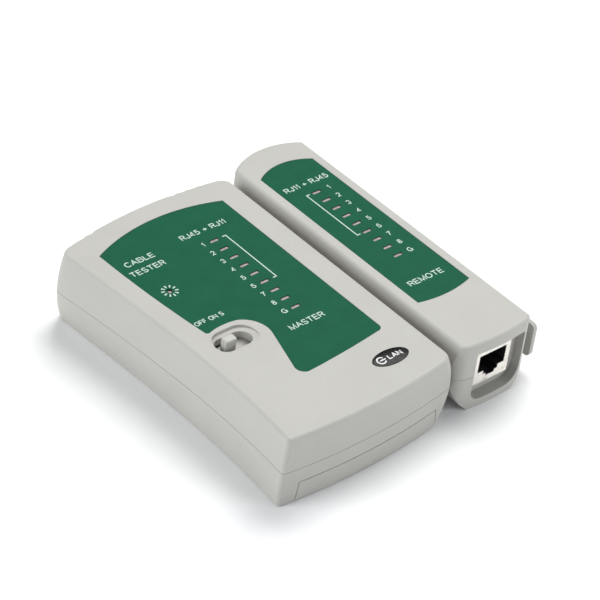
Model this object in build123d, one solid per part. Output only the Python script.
from build123d import *
import os

os.makedirs("parts", exist_ok=True)

# Millimetres. +X runs across both units, +Y away from the battery end, +Z up from the table.

# middle of the footprint, moved to the origin as the parts are written
MIDDLE_X = -1.46
MIDDLE_Y = 1.13

# both casings
HEIGHT = 27.0
SPLIT_Z = 13.5
WALL = 2.0
SEAM = 0.16
SEAM_DEEP = 0.15
TOP_R = 1.2
FOOT_R = 0.8
GAP = 0.15
DOOR_GAP = 0.25

# master casing: its left side, from the near end to the far one, as y, then x at the foot, middle and top
# of a section that is trimmed above and below
M_SIDE = [
    (-66.0, -57.6, -57.4, -56.8),
    (-10.0, -53.4, -54.6, -53.2),
    (52.0, -56.0, -59.8, -56.7),
    (66.0, -56.9, -61.4, -57.6),
]
TRIM = 0.5
M_RIGHT = 17.8
M_TOP_LEAN = 4.2
M_FOOT_LEAN = 5.0
M_FAR = 58.4
M_NEAR = -60.0
M_CORNERS = [(-57.0, -58.2, 1.4), (-58.0, 53.0, 4.5), (17.0, 54.5, 4.0), (17.0, -56.0, 4.4)]

# remote casing
R_X = 35.0
R_HALF = 16.7
R_TOP_HALF = 15.3
R_FOOT_HALF = 9.5
R_FAR = 62.3
R_NEAR = -57.3
R_CORNERS = [(18.3, 56.2, 6.0), (51.7, 57.2, 5.0), (18.3, -55.6, 5.0), (51.7, -55.6, 5.5)]

# label films and the recesses they lie in
LABEL_DEEP = 0.5
LABEL_T = 0.3

# indicator columns
LED_PITCH = 5.08
LED_COUNT = 9
LED_W = 5.0
LED_D = 2.0
LED_H = 7.0
LED_TOP = 26.4
WINDOW = (3.7, 1.3)
LAMP_WINDOW = 1.1
M_LED_X = -11.0
M_LED_Y = 31.0
R_LED_X = 35.4
R_LED_Y = 33.1
POWER_LED = (-40.0, 18.1)

# circuit boards
BOARD_TOP = 9.0
BOARD_T = 1.6

# sockets: width, height, length
RJ45 = (15.6, 13.6, 21.0)
RJ11 = (13.2, 11.6, 18.0)
M_RJ45_X = -30.0
M_RJ11_X = -8.0
M_JACK_Y = 56.2
R_RJ45_X = 33.8
R_RJ45_Y = -56.2
R_RJ11_Y = 60.4

# recess round the remote's near socket
POCKET_FLOOR = 53.2
POCKET_RIGHT = 47.6
POCKET_LOW = 3.0

# slide switch
SWITCH = (-39.0, -12.3)
SLOT_L = 13.6
SLOT_W = 7.6
KNOB_X = -41.0
KNOB_TOP = 29.0
TRAVEL = 6.0
EAR = 8.6

# battery bay and its door
BATTERY = (48.5, 26.5, 17.5)
BATTERY_X = -22.25
BATTERY_Y = -42.4
BATTERY_Z = 3.5
DOOR_LEFT = -49.0
DOOR_RIGHT = 9.5
DOOR_FLARE = 1.3
DOOR_H = 7.6
DOOR_BACK = -27.6

# joining rails on the remote and the slot for one of them in the master
RAIL_T = 1.5
RAIL_STAND = 3.3
RAIL_LOW = 6.3
RAIL_HIGH = 19.3
RAIL_NEAR = -53.7
RAIL_FAR = 20.0
WEB_LOW = 10.3
WEB_HIGH = 15.3
RAIL_CLEAR = 0.25

# case screws: head radius, head height, thread radius
SCREW = (2.3, 1.7, 1.2)
SCREW_TIP = 19.0
SCREW_SEAT = 5.0
M_SCREWS = [(-47.5, 37.0), (6.3, 43.0), (-46.5, -23.6), (7.6, -24.5)]
R_SCREWS = [(29.0, 37.0), (41.4, 37.0), (35.4, -27.0)]
M_PILLAR = 3.4
R_PILLAR = 3.1


def block(x0, x1, y0, y1, z0, z1):
    centre = Pos((x0 + x1) / 2, (y0 + y1) / 2, (z0 + z1) / 2)
    return centre * Box(x1 - x0, y1 - y0, z1 - z0)


def post(x, y, z0, z1, radius):
    return Pos(x, y, (z0 + z1) / 2) * Cylinder(radius, z1 - z0)


def region(*curves):
    return make_face([edge for curve in curves for edge in curve.edges()])


def soften(face, corners, less=0.0):
    for x, y, radius in corners:
        if radius > less:
            face = fillet(face.vertices().sort_by_distance((x, y, 0))[0], radius - less)
    return face


def shrink(face, amount):
    return offset(face, -amount, kind=Kind.INTERSECTION) if amount else face


def prism(face, z0, z1):
    return Pos(0, 0, z0) * extrude(face, z1 - z0)


def through_y(face):
    return extrude(Plane.XZ * face, 90, both=True)


def stadium(x, y, length, width, z0, z1):
    return prism(Pos(x, y) * SlotOverall(length, width), z0, z1)


def led_spots(x, y):
    return [(x, y - LED_PITCH * i) for i in range(LED_COUNT)]


# ---------------------------------------------------------------- casing outlines

def master_section(y, foot, middle, top, amount):
    low = amount - TRIM
    high = HEIGHT - amount + TRIM
    right = M_RIGHT - amount
    face = region(
        Line((foot + amount, low), (right - M_FOOT_LEAN, low)),
        TangentArc((right, SPLIT_Z), (right - M_FOOT_LEAN, low), tangent=(0, -1)),
        TangentArc((right, SPLIT_Z), (right - M_TOP_LEAN, high), tangent=(0, 1)),
        Line((top + amount, high), (right - M_TOP_LEAN, high)),
        ThreePointArc((foot + amount, low), (middle + amount, SPLIT_Z), (top + amount, high)),
    )
    return Pos(0, y, 0) * Rot(90, 0, 0) * face


def master_ends(amount=0.0):
    far = ThreePointArc((-75, 47.1 - amount), (-15, M_FAR - amount), (30, 51.9 - amount))
    near = ThreePointArc((-75, -55.2 + amount), (-22, M_NEAR + amount), (30, -53.4 + amount))
    left = Line((-75, -55.2 + amount), (-75, 47.1 - amount))
    right = Line((30, -53.4 + amount), (30, 51.9 - amount))
    return region(far, right, near, left)


def master_core(amount=0.0):
    body = loft([master_section(*row, amount) for row in M_SIDE])
    body &= prism(master_ends(amount), amount, HEIGHT - amount)
    for x, y, radius in M_CORNERS:
        if radius > amount:
            body = fillet(corner_edges(body, x, y), radius - amount)
    return body


def remote_plan(amount=0.0, rounded=True):
    left = R_X - R_HALF
    right = R_X + R_HALF
    face = region(
        Line((left, -55.6), (left, 56.2)),
        ThreePointArc((left, 56.2), (R_X + 1, R_FAR), (right, 57.2)),
        Line((right, 57.2), (right, -55.6)),
        ThreePointArc((right, -55.6), (R_X, R_NEAR), (left, -55.6)),
    )
    face = shrink(face, amount)
    return soften(face, R_CORNERS, amount) if rounded else face


def remote_front(amount=0.0):
    curves = [
        Line((R_X - R_TOP_HALF, HEIGHT), (R_X + R_TOP_HALF, HEIGHT)),
        Line((R_X - R_FOOT_HALF, 0), (R_X + R_FOOT_HALF, 0)),
    ]
    for side in (-1, 1):
        waist = (R_X + side * R_HALF, SPLIT_Z)
        curves.append(TangentArc(waist, (R_X + side * R_TOP_HALF, HEIGHT), tangent=(0, 1)))
        curves.append(TangentArc(waist, (R_X + side * R_FOOT_HALF, 0), tangent=(0, -1)))
    return shrink(region(*curves), amount)


def remote_core(amount=0.0):
    return prism(remote_plan(amount), 0, HEIGHT) & through_y(remote_front(amount))


def corner_edges(body, x, y):
    tall = [edge for edge in body.edges() if edge.bounding_box().size.Z > 5]
    return [edge for edge in tall if abs(edge.center().X - x) < 5.5 and abs(edge.center().Y - y) < 4]


def casing(core, foot=0.0):
    body = core()
    body = fillet(body.faces().sort_by(Axis.Z)[-1].edges(), TOP_R)
    if foot:
        body = fillet(body.faces().sort_by(Axis.Z)[0].edges(), foot)
    slab = block(-90, 90, -90, 90, SPLIT_Z - SEAM / 2, SPLIT_Z + SEAM / 2)
    return body - (slab - core(SEAM_DEEP))


def label_outline_master():
    return region(
        ThreePointArc((-44.3, -4.4), (-47.0, 21), (-48.1, 44.3)),
        ThreePointArc((-48.1, 44.3), (-18, 50.6), (5.2, 46.2)),
        Line((5.2, 46.2), (5.2, -31.6)),
        ThreePointArc((5.2, -31.6), (4.5, -33.2), (2.9, -33.8)),
        ThreePointArc((2.9, -33.8), (-13, -35.6), (-28.6, -36.7)),
        ThreePointArc((-28.6, -36.7), (-31.2, -35.1), (-31.3, -32.2)),
        Line((-31.3, -32.2), (-26.2, -16.2)),
        TangentArc((-26.2, -16.2), (-31.8, -5.0), tangent=(0.304, 0.953)),
        ThreePointArc((-31.8, -5.0), (-37.5, -4.5), (-42.8, -5.3)),
        ThreePointArc((-42.8, -5.3), (-43.8, -5.2), (-44.3, -4.4)),
    )


def label_outline_remote():
    left = 23.4
    right = 46.8
    return region(
        Line((left, -30.2), (left, 48.2)),
        ThreePointArc((left, 48.2), (R_X, 51.8), (right, 48.2)),
        Line((right, 48.2), (right, -29.8)),
        ThreePointArc((right, -29.8), (R_X, -31.6), (left, -30.2)),
    )


# ---------------------------------------------------------------- sockets, built facing -Y at the origin

def socket_mouth(kind):
    width, high, step = (11.8, 6.8, 6.3) if kind == "rj45" else (9.8, 6.8, 4.0)
    top = 11.4 if kind == "rj45" else 9.9
    low = top - high
    face = Pos(0, top - high / 2) * Rectangle(width, high)
    face += Pos(0, low - 0.7) * Rectangle(step, 1.6)
    face += Pos(0, low - 1.9) * Rectangle(step - 2.4, 1.2)
    return face, top


def socket(kind):
    width, height, length = RJ45 if kind == "rj45" else RJ11
    pins = 8 if kind == "rj45" else 4
    pitch = 1.02 if kind == "rj45" else 1.27
    skin = 0.3 if kind == "rj45" else 0.0
    mouth, top = socket_mouth(kind)
    hole = Plane.XZ * mouth
    insert = block(-width / 2 + skin, width / 2 - skin, skin, length - skin, 0, height - skin)
    insert -= extrude(hole, -14.5)
    wires = Part()
    for i in range(pins):
        x = (i - (pins - 1) / 2) * pitch
        wire = block(-0.23, 0.23, 2.2, length - 2.4, top - 0.5, top)
        wire += block(-0.23, 0.23, length - 2.9, length - 2.4, -1.4, top)
        tongue = Pos(0, 5.9, top - 1.1) * Rot(-17, 0, 0) * Box(0.46, 7.2, 0.4)
        wires += Pos(x, 0, 0) * (wire + tongue)
    insert -= wires
    pieces = {"insert": insert, "contacts": wires}
    if skin:
        shield = block(-width / 2, width / 2, 0, length, 0, height)
        shield -= block(-width / 2 + skin, width / 2 - skin, skin, length - skin, -1, height - skin)
        shield -= extrude(hole, -2)
        for side in (-1, 1):
            shield += Pos(side * (width / 2 - skin / 2), 12, -1.2) * Box(skin, 1.6, 2.6)
        pieces["shield"] = shield
    return pieces


def place(pieces, x, y, facing_far):
    turn = Rot(0, 0, 180) if facing_far else Rot(0, 0, 0)
    return {name: Pos(x, y, BOARD_TOP) * turn * piece for name, piece in pieces.items()}


# ---------------------------------------------------------------- indicators

def leds(spots):
    group = Part()
    for x, y in spots:
        base = LED_TOP - LED_H
        group += block(x - LED_W / 2, x + LED_W / 2, y - LED_D / 2, y + LED_D / 2, base, LED_TOP)
        group += block(x - LED_W / 2 - 0.3, x + LED_W / 2 + 0.3, y - LED_D / 2 - 0.3,
                       y + LED_D / 2 + 0.3, base, base + 1)
    return group


def led_leads(spots, reach=1.27):
    group = Part()
    for x, y in spots:
        for side in (-reach, reach):
            group += block(x + side - 0.25, x + side + 0.25, y - 0.25, y + 0.25,
                           BOARD_TOP - BOARD_T - 0.8, LED_TOP - LED_H)
    return group


def windows(spots, width, depth):
    group = Part()
    for x, y in spots:
        group += block(x - width / 2, x + width / 2, y - depth / 2, y + depth / 2, 20, HEIGHT + 1)
    return group


def screws(spots):
    head_r, head_h, thread_r = SCREW
    group = Part()
    for x, y in spots:
        one = post(x, y, SCREW_SEAT - head_h, SCREW_SEAT, head_r)
        one += post(x, y, SCREW_SEAT, SCREW_TIP, thread_r)
        one -= Pos(x, y, SCREW_SEAT - head_h + 0.5) * Box(2.8, 0.5, 1.2)
        one -= Pos(x, y, SCREW_SEAT - head_h + 0.5) * Box(0.5, 2.8, 1.2)
        group += one
    return group


def board_screws(spots):
    group = Part()
    for x, y in spots:
        one = post(x, y, BOARD_TOP, BOARD_TOP + 1.3, 1.9)
        one += post(x, y, BOARD_TOP - BOARD_T - 3, BOARD_TOP, 0.9)
        one -= Pos(x, y, BOARD_TOP + 1.2) * Box(2.4, 0.5, 1)
        group += one
    return group


def pillars_low(spots, radius):
    head_r, head_h, thread_r = SCREW
    group = Part()
    bores = Part()
    for x, y in spots:
        group += post(x, y, 1, SPLIT_Z - 0.1, radius)
        bores += post(x, y, -1, SCREW_SEAT, head_r + 0.2)
        bores += post(x, y, SCREW_SEAT - 1, SPLIT_Z, thread_r + 0.25)
    return group, bores


def pillars_high(spots, radius):
    group = Part()
    bores = Part()
    for x, y in spots:
        group += post(x, y, SPLIT_Z + 0.1, HEIGHT - 1, radius)
        bores += post(x, y, SPLIT_Z, SCREW_TIP + 1, SCREW[2] + 0.01)
    return group, bores


def standoffs(spots):
    group = Part()
    bores = Part()
    for x, y in spots:
        group += post(x, y, 1, BOARD_TOP - BOARD_T, 2.6)
        bores += post(x, y, 4.2, BOARD_TOP, 0.91)
    return group, bores


# ---------------------------------------------------------------- master unit

m_outer = casing(master_core, FOOT_R)
m_inner = master_core(WALL)
m_half_low = block(-80, 30, -80, 80, -1, SPLIT_Z)
m_half_high = block(-80, 30, -80, 80, SPLIT_Z, HEIGHT + 1)

slot_x0 = R_X - R_HALF - RAIL_STAND - RAIL_T - RAIL_CLEAR
slot_x1 = slot_x0 + RAIL_T + 2 * RAIL_CLEAR
rail_box = m_outer & block(slot_x0 - 1.5, M_RIGHT + 1, M_NEAR, M_FAR, RAIL_LOW - 1.8, RAIL_HIGH + 1.8)
rail_slot = block(slot_x0, slot_x1, RAIL_NEAR - 0.5, 70, RAIL_LOW - RAIL_CLEAR, RAIL_HIGH + RAIL_CLEAR)
rail_slot += block(slot_x1 - 0.1, 20, RAIL_NEAR - 0.5, 70, WEB_LOW - RAIL_CLEAR, WEB_HIGH + RAIL_CLEAR)

m_jacks = {}
for kind, x in (("rj45", M_RJ45_X), ("rj11", M_RJ11_X)):
    m_jacks[kind] = place(socket(kind), x, M_JACK_Y, True)

jack_ways = Part()
for (width, height, length), x in ((RJ45, M_RJ45_X), (RJ11, M_RJ11_X)):
    side = width / 2 + GAP
    jack_ways += block(x - side, x + side, 40, 70, BOARD_TOP - GAP, BOARD_TOP + height + GAP)

m_spots = led_spots(M_LED_X, M_LED_Y)
m_board_screws = [(-46.0, 3.0), (7.2, 8.2)]

battery_x0 = BATTERY_X - BATTERY[0] / 2
battery_x1 = BATTERY_X + BATTERY[0] / 2
battery_y0 = BATTERY_Y - BATTERY[1] / 2
battery_y1 = BATTERY_Y + BATTERY[1] / 2
battery_z1 = BATTERY_Z + BATTERY[2]
battery_mid = BATTERY_Z + BATTERY[2] / 2


def door_prism(spare=0.0):
    face = region(Polyline(
        (DOOR_LEFT - spare, DOOR_H + spare), (DOOR_RIGHT + spare, DOOR_H + spare),
        (DOOR_RIGHT + DOOR_FLARE + spare, -1), (DOOR_LEFT - DOOR_FLARE - spare, -1),
        (DOOR_LEFT - spare, DOOR_H + spare)))
    return through_y(face)


door_reach = block(-80, 30, -70, DOOR_BACK, -1, DOOR_H + 1)
door_panel = block(-80, 30, -70, DOOR_BACK, -1, WALL)
near_wall = prism(master_ends(), -1, HEIGHT) - prism(master_ends(WALL), -2, HEIGHT + 1)
near_wall = near_wall & block(-80, 30, -70, -50, -1, HEIGHT)
door_solid = (m_outer & door_prism() & (door_panel + near_wall)) & door_reach
door_ribs = Part()
for i in range(5):
    door_ribs += block(-40, 0, DOOR_BACK - 3 - 1.6 * i, DOOR_BACK - 2.4 - 1.6 * i, -1, 0.35)
door_tongues = block(-36, -26, DOOR_BACK - 1.4, DOOR_BACK + 2.2, WALL + 0.1, WALL + 1.1)
door_tongues += block(-16, -6, DOOR_BACK - 1.4, DOOR_BACK + 2.2, WALL + 0.1, WALL + 1.1)
door_tongues += block(-36, -26, DOOR_BACK - 1.4, DOOR_BACK - 0.6, WALL - 0.5, WALL + 1.1)
door_tongues += block(-16, -6, DOOR_BACK - 1.4, DOOR_BACK - 0.6, WALL - 0.5, WALL + 1.1)
battery_door = door_solid - door_ribs + door_tongues

low_pillars, low_bores = pillars_low(M_SCREWS, M_PILLAR)
low_stands, stand_bores = standoffs(m_board_screws + [(-46.0, -17.0), (6.0, -17.0), (-19.0, 14.0)])
divider = block(-53, 10, DOOR_BACK + 1.2, DOOR_BACK + 2.4, 1, 8)
m_low = (m_outer - m_inner) & m_half_low
m_low += (low_pillars + low_stands + divider) & m_outer
m_low += rail_box & m_half_low
m_low -= low_bores + stand_bores + jack_ways + rail_slot
m_low -= door_prism(DOOR_GAP) & block(-80, 30, -70, DOOR_BACK + DOOR_GAP, -1, WALL + GAP)
m_low -= door_prism(DOOR_GAP) & block(-80, 30, -70, -50, -1, DOOR_H + DOOR_GAP)
m_low -= block(-36.2, -5.8, DOOR_BACK, DOOR_BACK + 2.6, WALL, WALL + 1.4)

label_m = label_outline_master()
high_pillars, high_bores = pillars_high(M_SCREWS, M_PILLAR)
switch_pad = block(SWITCH[0] - 13, SWITCH[0] + 13, SWITCH[1] - 6.5, SWITCH[1] + 7, 23.7, 25.5)
switch_bosses = Part()
for side in (-EAR, EAR):
    switch_bosses += post(SWITCH[0], SWITCH[1] + side, 22.6, 25.5, 2.1)
battery_ribs = block(battery_x0 + 6, battery_x0 + 7.2, battery_y0, battery_y1, battery_z1 + 1.2, 26)
battery_ribs += block(battery_x1 - 7.2, battery_x1 - 6, battery_y0, battery_y1, battery_z1 + 1.2, 26)
m_high = (m_outer - m_inner) & m_half_high
m_high += (high_pillars + switch_pad + switch_bosses + battery_ribs) & m_outer
m_high += rail_box & m_half_high
m_high -= high_bores + jack_ways + rail_slot
m_high -= prism(label_m, HEIGHT - LABEL_DEEP, HEIGHT + 1)
m_high -= windows(m_spots, LED_W + 0.3, LED_D + 0.3)
m_high -= post(POWER_LED[0], POWER_LED[1], 20, HEIGHT + 1, 1.65)
dish = Pos(-37.9, -12.0, HEIGHT) * Rot(-5.5, -0.5, 0) * extrude(SlotOverall(16.4, 11.0), 6)
m_high -= Pos(0, 0, -0.45) * dish
m_high -= stadium(SWITCH[0], SWITCH[1], SLOT_L, SLOT_W, 20, HEIGHT + 1)
m_high -= Pos(-2.6, -45.6, HEIGHT - 0.4) * extrude(Ellipse(7.2, 3.5), 2)
for side in (-EAR, EAR):
    m_high -= post(SWITCH[0], SWITCH[1] + side, 21, 25.4, 0.81)

master_label = prism(label_m, HEIGHT - LABEL_DEEP, HEIGHT - LABEL_DEEP + LABEL_T)
master_label -= windows(m_spots, *WINDOW) + post(*POWER_LED, 20, HEIGHT + 1, LAMP_WINDOW)
badge = Pos(-2.6, -45.6, HEIGHT - 0.4) * extrude(Ellipse(7.1, 3.4), 0.55)

board_m = Pos(-20.25, 16.0) * Rectangle(60.5, 71.6)
for x, y in M_SCREWS[:2]:
    reach = -60 if x < 0 else 12
    board_m -= Pos((x + reach) / 2, 48) * Rectangle(abs(x - reach) + 2 * M_PILLAR + 1, 30)
master_board = prism(board_m, BOARD_TOP - BOARD_T, BOARD_TOP)


m_leads = led_leads(m_spots)
power_leads = led_leads([POWER_LED])
power_led = post(*POWER_LED, LED_TOP - 6.2, LED_TOP - 1.2, 1.5)
power_led += Pos(POWER_LED[0], POWER_LED[1], LED_TOP - 1.5) * Sphere(1.5)
power_led += post(*POWER_LED, LED_TOP - 7, LED_TOP - 6, 1.9)


def dip_chip(x, y, pins, along_y=True):
    length = 2.54 * pins / 2 - 0.6
    body = block(-3.2, 3.2, -length / 2, length / 2, BOARD_TOP + 0.5, BOARD_TOP + 3.7)
    legs = Part()
    for i in range(pins // 2):
        y_pin = (i - (pins / 2 - 1) / 2) * 2.54
        for side in (-1, 1):
            leg = block(-0.25, 0.25, y_pin - 0.5, y_pin + 0.5, BOARD_TOP - BOARD_T - 0.6, BOARD_TOP + 2.2)
            foot = block(-0.3, 0.3, y_pin - 0.5, y_pin + 0.5, BOARD_TOP + 1.8, BOARD_TOP + 2.2)
            legs += Pos(side * 3.75, 0, 0) * leg + Pos(side * 3.5, 0, 0) * foot
    legs -= body
    turn = Rot(0, 0, 0) if along_y else Rot(0, 0, 90)
    return Pos(x, y, 0) * turn * body, Pos(x, y, 0) * turn * legs


def bridge(x, y, reach, z):
    wire = block(x - reach, x + reach, y - 0.25, y + 0.25, z - 0.25, z + 0.25)
    for side in (-reach, reach):
        leg = x + side
        wire += block(leg - 0.25, leg + 0.25, y - 0.25, y + 0.25, BOARD_TOP - BOARD_T - 0.6, z + 0.25)
    return wire


counter_body, counter_legs = dip_chip(-26.0, 14.0, 16)
timer_body, timer_legs = dip_chip(-31.0, -3.5, 8, along_y=False)
chip_legs = counter_legs + timer_legs

capacitor = post(-2.0, -9.0, BOARD_TOP, BOARD_TOP + 11, 2.5)
capacitor -= post(-2.0, -9.0, BOARD_TOP + 10.7, BOARD_TOP + 12, 1.9)
resistors = Part()
resistor_wires = Part()
for i in range(6):
    y = 26.0 - 5.08 * i
    tube = Pos(-1.5, y, BOARD_TOP + 1.6) * Rot(0, 90, 0) * Cylinder(1.2, 6.2)
    resistors += tube
    resistor_wires += bridge(-1.5, y, 5.0, BOARD_TOP + 1.6) - tube

# slide switch: fixed frame and base, moving knob
sx, sy = SWITCH
switch_frame = block(sx - 7.5, sx + 7.5, sy - 3.8, sy + 3.8, 22.0, 22.6)
switch_frame += block(sx - 2.6, sx + 2.6, sy - EAR - 2.2, sy + EAR + 2.2, 22.0, 22.6)
switch_frame += block(sx - 7.5, sx + 7.5, sy - 3.8, sy - 3.4, 17.2, 22.2)
switch_frame += block(sx - 7.5, sx + 7.5, sy + 3.4, sy + 3.8, 17.2, 22.2)
switch_frame -= block(KNOB_X - 1.8, KNOB_X + TRAVEL + 1.8, sy - 1.6, sy + 1.6, 21, 23)
for side in (-EAR, EAR):
    switch_frame -= post(sx, sy + side, 21, 23, 1.1)
switch_base = block(sx - 7.4, sx + 7.4, sy - 3.3, sy + 3.3, 17.0, 21.9)
switch_base -= block(KNOB_X - 2.0, KNOB_X + TRAVEL + 2.0, sy - 1.8, sy + 1.8, 18.4, 22)
switch_knob = block(KNOB_X - 2.2, KNOB_X + 2.2, sy - 1.5, sy + 1.5, 23.2, KNOB_TOP)
switch_knob = fillet(switch_knob.edges().filter_by(Axis.Z), 0.6)
switch_knob = fillet(switch_knob.faces().sort_by(Axis.Z)[-1].edges(), 0.5)
switch_knob += block(KNOB_X - 2.2, KNOB_X + 8.8, sy - 3.2, sy + 3.2, 22.75, 23.4)
switch_knob += block(KNOB_X - 1.5, KNOB_X + 1.5, sy - 1.4, sy + 1.4, 18.8, 23)
switch_pins = Part()
for x in (-5.08, -1.7, 1.7, 5.08):
    for y in (-2.0, 2.0):
        switch_pins += post(sx + x, sy + y, BOARD_TOP - BOARD_T - 0.6, 17.0, 0.35)
switch_screws = Part()
for side in (-EAR, EAR):
    switch_screws += post(sx, sy + side, 20.8, 22.0, 1.8)
    switch_screws += post(sx, sy + side, 21.9, 25.3, 0.8)
    switch_screws -= Pos(sx, sy + side, 20.9) * Box(2.4, 0.4, 0.8)

for kind in m_jacks:
    master_board -= m_jacks[kind]["contacts"]
master_board -= m_jacks["rj45"]["shield"]
master_board -= m_leads + power_leads + chip_legs + resistor_wires + switch_pins
for x, y in m_board_screws:
    master_board -= post(x, y, 0, 20, 0.9)

# battery, snap connector and its two leads
battery = block(battery_x0, battery_x1, battery_y0, battery_y1, BATTERY_Z, battery_z1)
battery = fillet(battery.edges().filter_by(Axis.X), 2.0)
terminals = Part()
snaps = Part()
end = Rot(0, 90, 0)
for side, radius in ((-6.35, 2.8), (6.35, 3.6)):
    stud = Pos(battery_x1 + 1.2, BATTERY_Y + side, battery_mid) * end
    terminals += stud * Cylinder(radius, 2.4)
    snaps += Pos(battery_x1 + 1.6, BATTERY_Y + side, battery_mid) * end * Cylinder(radius + 1.1, 1.6)
    snaps -= Pos(battery_x1 + 1.6, BATTERY_Y + side, battery_mid) * end * Cylinder(radius + 0.01, 1.7)
snap_x = battery_x1 + 2.5
snap_cap = block(snap_x, snap_x + 2.2, BATTERY_Y - 12, BATTERY_Y + 12, battery_mid - 5.7, battery_mid + 5.7)
snap_cap = fillet(snap_cap.edges().filter_by(Axis.X), 2.5)


def lead(start, points, finish):
    path = Spline(start, *points, finish, tangents=((0, 1, 0), (0, 0, -1)))
    return sweep(Plane(origin=start, z_dir=(0, 1, 0)) * Circle(0.65), path=path)


snap_far = BATTERY_Y + 12
wire_x = snap_x + 1.1
red_start = (wire_x - 0.4, snap_far, battery_mid + 3)
black_start = (wire_x - 0.4, snap_far, battery_mid - 0.4)
red_lead = lead(red_start, [(wire_x - 3.6, -27.5, 17.5)], (-1.5, -17.0, BOARD_TOP))
black_lead = lead(black_start, [(wire_x - 4.2, -27.5, 13.0)], (-6.0, -17.0, BOARD_TOP))
battery_foam = block(BATTERY_X - 15, BATTERY_X + 15, BATTERY_Y - 8, BATTERY_Y + 8, battery_z1, 25)

# ---------------------------------------------------------------- remote unit

r_outer = casing(remote_core)
r_cavity = remote_plan(WALL) - Pos(R_X, R_NEAR + 7.5 - 20) * Rectangle(60, 40)
r_inner = prism(r_cavity, 0, HEIGHT) & through_y(remote_front(WALL))
r_half_low = block(0, 80, -80, 80, -1, SPLIT_Z)
r_half_high = block(0, 80, -80, 80, SPLIT_Z, HEIGHT + 1)

remote_rails = Part()
for side in (-1, 1):
    x = R_X + side * (R_HALF + RAIL_STAND + RAIL_T / 2)
    plate = Pos(x, (RAIL_NEAR + RAIL_FAR) / 2, (RAIL_LOW + RAIL_HIGH) / 2)
    plate = plate * Box(RAIL_T, RAIL_FAR - RAIL_NEAR, RAIL_HIGH - RAIL_LOW)
    plate = fillet(plate.edges().filter_by(Axis.X), 1.8)
    web_x = R_X + side * (R_HALF + RAIL_STAND / 2 - 0.4)
    web = Pos(web_x, (RAIL_NEAR + RAIL_FAR) / 2 + 3, (WEB_LOW + WEB_HIGH) / 2)
    web = web * Box(RAIL_STAND + 1.2, RAIL_FAR - RAIL_NEAR - 10, WEB_HIGH - WEB_LOW)
    remote_rails += plate + web

jack_x0 = R_RJ45_X - RJ45[0] / 2 - GAP
jack_x1 = R_RJ45_X + RJ45[0] / 2 + GAP
jack_z1 = BOARD_TOP + RJ45[1] + GAP
r_ways = block(jack_x0, jack_x1, -60, -45, BOARD_TOP - GAP, jack_z1)
r_ways += block(R_X - RJ11[0] / 2 - GAP, R_X + RJ11[0] / 2 + GAP, 50, 70,
                BOARD_TOP - GAP, BOARD_TOP + RJ11[1] + GAP)


pocket = region(Polyline(
    (jack_x0, POCKET_LOW), (POCKET_RIGHT, POCKET_LOW), (POCKET_RIGHT, jack_z1), (jack_x0, jack_z1),
    (jack_x0, POCKET_LOW)))
pocket = soften(pocket, [
    (jack_x0, POCKET_LOW, 4),
    (POCKET_RIGHT, POCKET_LOW, 6),
    (POCKET_RIGHT, jack_z1, 1),
])
r_pocket = extrude(Plane.XZ * pocket, 70) - extrude(Plane.XZ * pocket, POCKET_FLOOR)

r_spots = led_spots(R_LED_X, R_LED_Y)
r_board_screws = [(24.0, 24.0), (46.0, -10.0)]
label_r = label_outline_remote()

low_pillars, low_bores = pillars_low(R_SCREWS, R_PILLAR)
low_stands, stand_bores = standoffs(r_board_screws + [(46.0, 24.0), (24.0, -10.0)])
r_low = (r_outer - r_inner) & r_half_low
r_low += (low_pillars + low_stands) & r_outer
r_low += remote_rails & r_half_low
r_low -= low_bores + stand_bores + r_ways + r_pocket

high_pillars, high_bores = pillars_high(R_SCREWS, R_PILLAR)
r_high = (r_outer - r_inner) & r_half_high
r_high += high_pillars & r_outer
r_high += remote_rails & r_half_high
r_high -= high_bores + r_ways + r_pocket
r_high -= prism(label_r, HEIGHT - LABEL_DEEP, HEIGHT + 1)
r_high -= windows(r_spots, LED_W + 0.3, LED_D + 0.3)

remote_label = prism(label_r, HEIGHT - LABEL_DEEP, HEIGHT - LABEL_DEEP + LABEL_T)
remote_label -= windows(r_spots, *WINDOW)

r_rj45 = place(socket("rj45"), R_RJ45_X, R_RJ45_Y, False)
r_rj11 = place(socket("rj11"), R_X, R_RJ11_Y, True)
r_leads = led_leads(r_spots)

board_r = Pos(R_X, 2.3) * Rectangle(26.6, 103.0)
for x, y in R_SCREWS:
    board_r -= Pos(x, y) * Circle(R_PILLAR + 0.15)
remote_board = prism(board_r, BOARD_TOP - BOARD_T, BOARD_TOP)
diodes = Part()
diode_wires = Part()
for x, y in [(27.5, 16.0 - 5.08 * i) for i in range(4)]:
    tube = Pos(x, y, BOARD_TOP + 1.2) * Rot(0, 90, 0) * Cylinder(0.9, 3.8)
    diodes += tube
    diode_wires += bridge(x, y, 3.5, BOARD_TOP + 1.2) - tube
remote_board -= r_rj45["contacts"] + r_rj45["shield"] + r_rj11["contacts"] + r_leads + diode_wires
for x, y in r_board_screws:
    remote_board -= post(x, y, 0, 20, 0.9)

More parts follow.
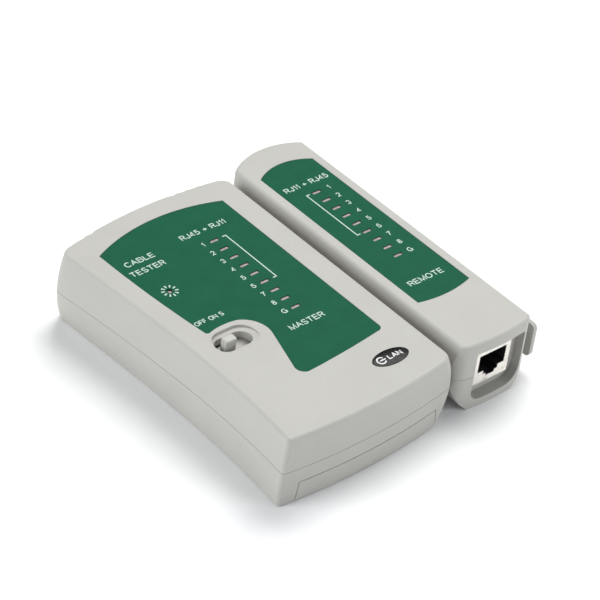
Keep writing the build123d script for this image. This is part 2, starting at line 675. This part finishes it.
# ---------------------------------------------------------------- write every piece

nodes = {
    "master_lower_shell": m_low,
    "master_upper_shell": m_high,
    "battery_door": battery_door,
    "master_label": master_label,
    "badge": badge,
    "master_leds": leds(m_spots),
    "master_led_leads": m_leads,
    "power_led": power_led,
    "power_led_leads": power_leads,
    "master_board": master_board,
    "master_board_screws": board_screws(m_board_screws),
    "master_case_screws": screws(M_SCREWS),
    "master_rj45_insert": m_jacks["rj45"]["insert"],
    "master_rj45_contacts": m_jacks["rj45"]["contacts"],
    "master_rj45_shield": m_jacks["rj45"]["shield"],
    "master_rj11_body": m_jacks["rj11"]["insert"],
    "master_rj11_contacts": m_jacks["rj11"]["contacts"],
    "counter_chip": counter_body,
    "timer_chip": timer_body,
    "chip_legs": chip_legs,
    "capacitor": capacitor,
    "resistors": resistors,
    "resistor_wires": resistor_wires,
    "switch_frame": switch_frame,
    "switch_base": switch_base,
    "switch_pins": switch_pins,
    "switch_screws": switch_screws,
    "switch_knob": switch_knob,
    "battery": battery,
    "battery_terminals": terminals,
    "battery_foam": battery_foam,
    "snap_connector": snap_cap,
    "snap_rings": snaps,
    "red_lead": red_lead,
    "black_lead": black_lead,
    "remote_lower_shell": r_low,
    "remote_upper_shell": r_high,
    "remote_label": remote_label,
    "remote_leds": leds(r_spots),
    "remote_led_leads": r_leads,
    "remote_board": remote_board,
    "remote_board_screws": board_screws(r_board_screws),
    "remote_case_screws": screws(R_SCREWS),
    "remote_rj45_insert": r_rj45["insert"],
    "remote_rj45_contacts": r_rj45["contacts"],
    "remote_rj45_shield": r_rj45["shield"],
    "remote_rj11_body": r_rj11["insert"],
    "remote_rj11_contacts": r_rj11["contacts"],
    "remote_diodes": diodes,
    "remote_diode_wires": diode_wires,
}

for name, shape in nodes.items():
    shape = Pos(-MIDDLE_X, -MIDDLE_Y, 0) * shape
    export_step(shape, f"parts/{name}.step")
    box = shape.bounding_box()
    print(name, len(shape.solids()), "solids, volume", round(shape.volume, 1), "box", box.min, box.max)
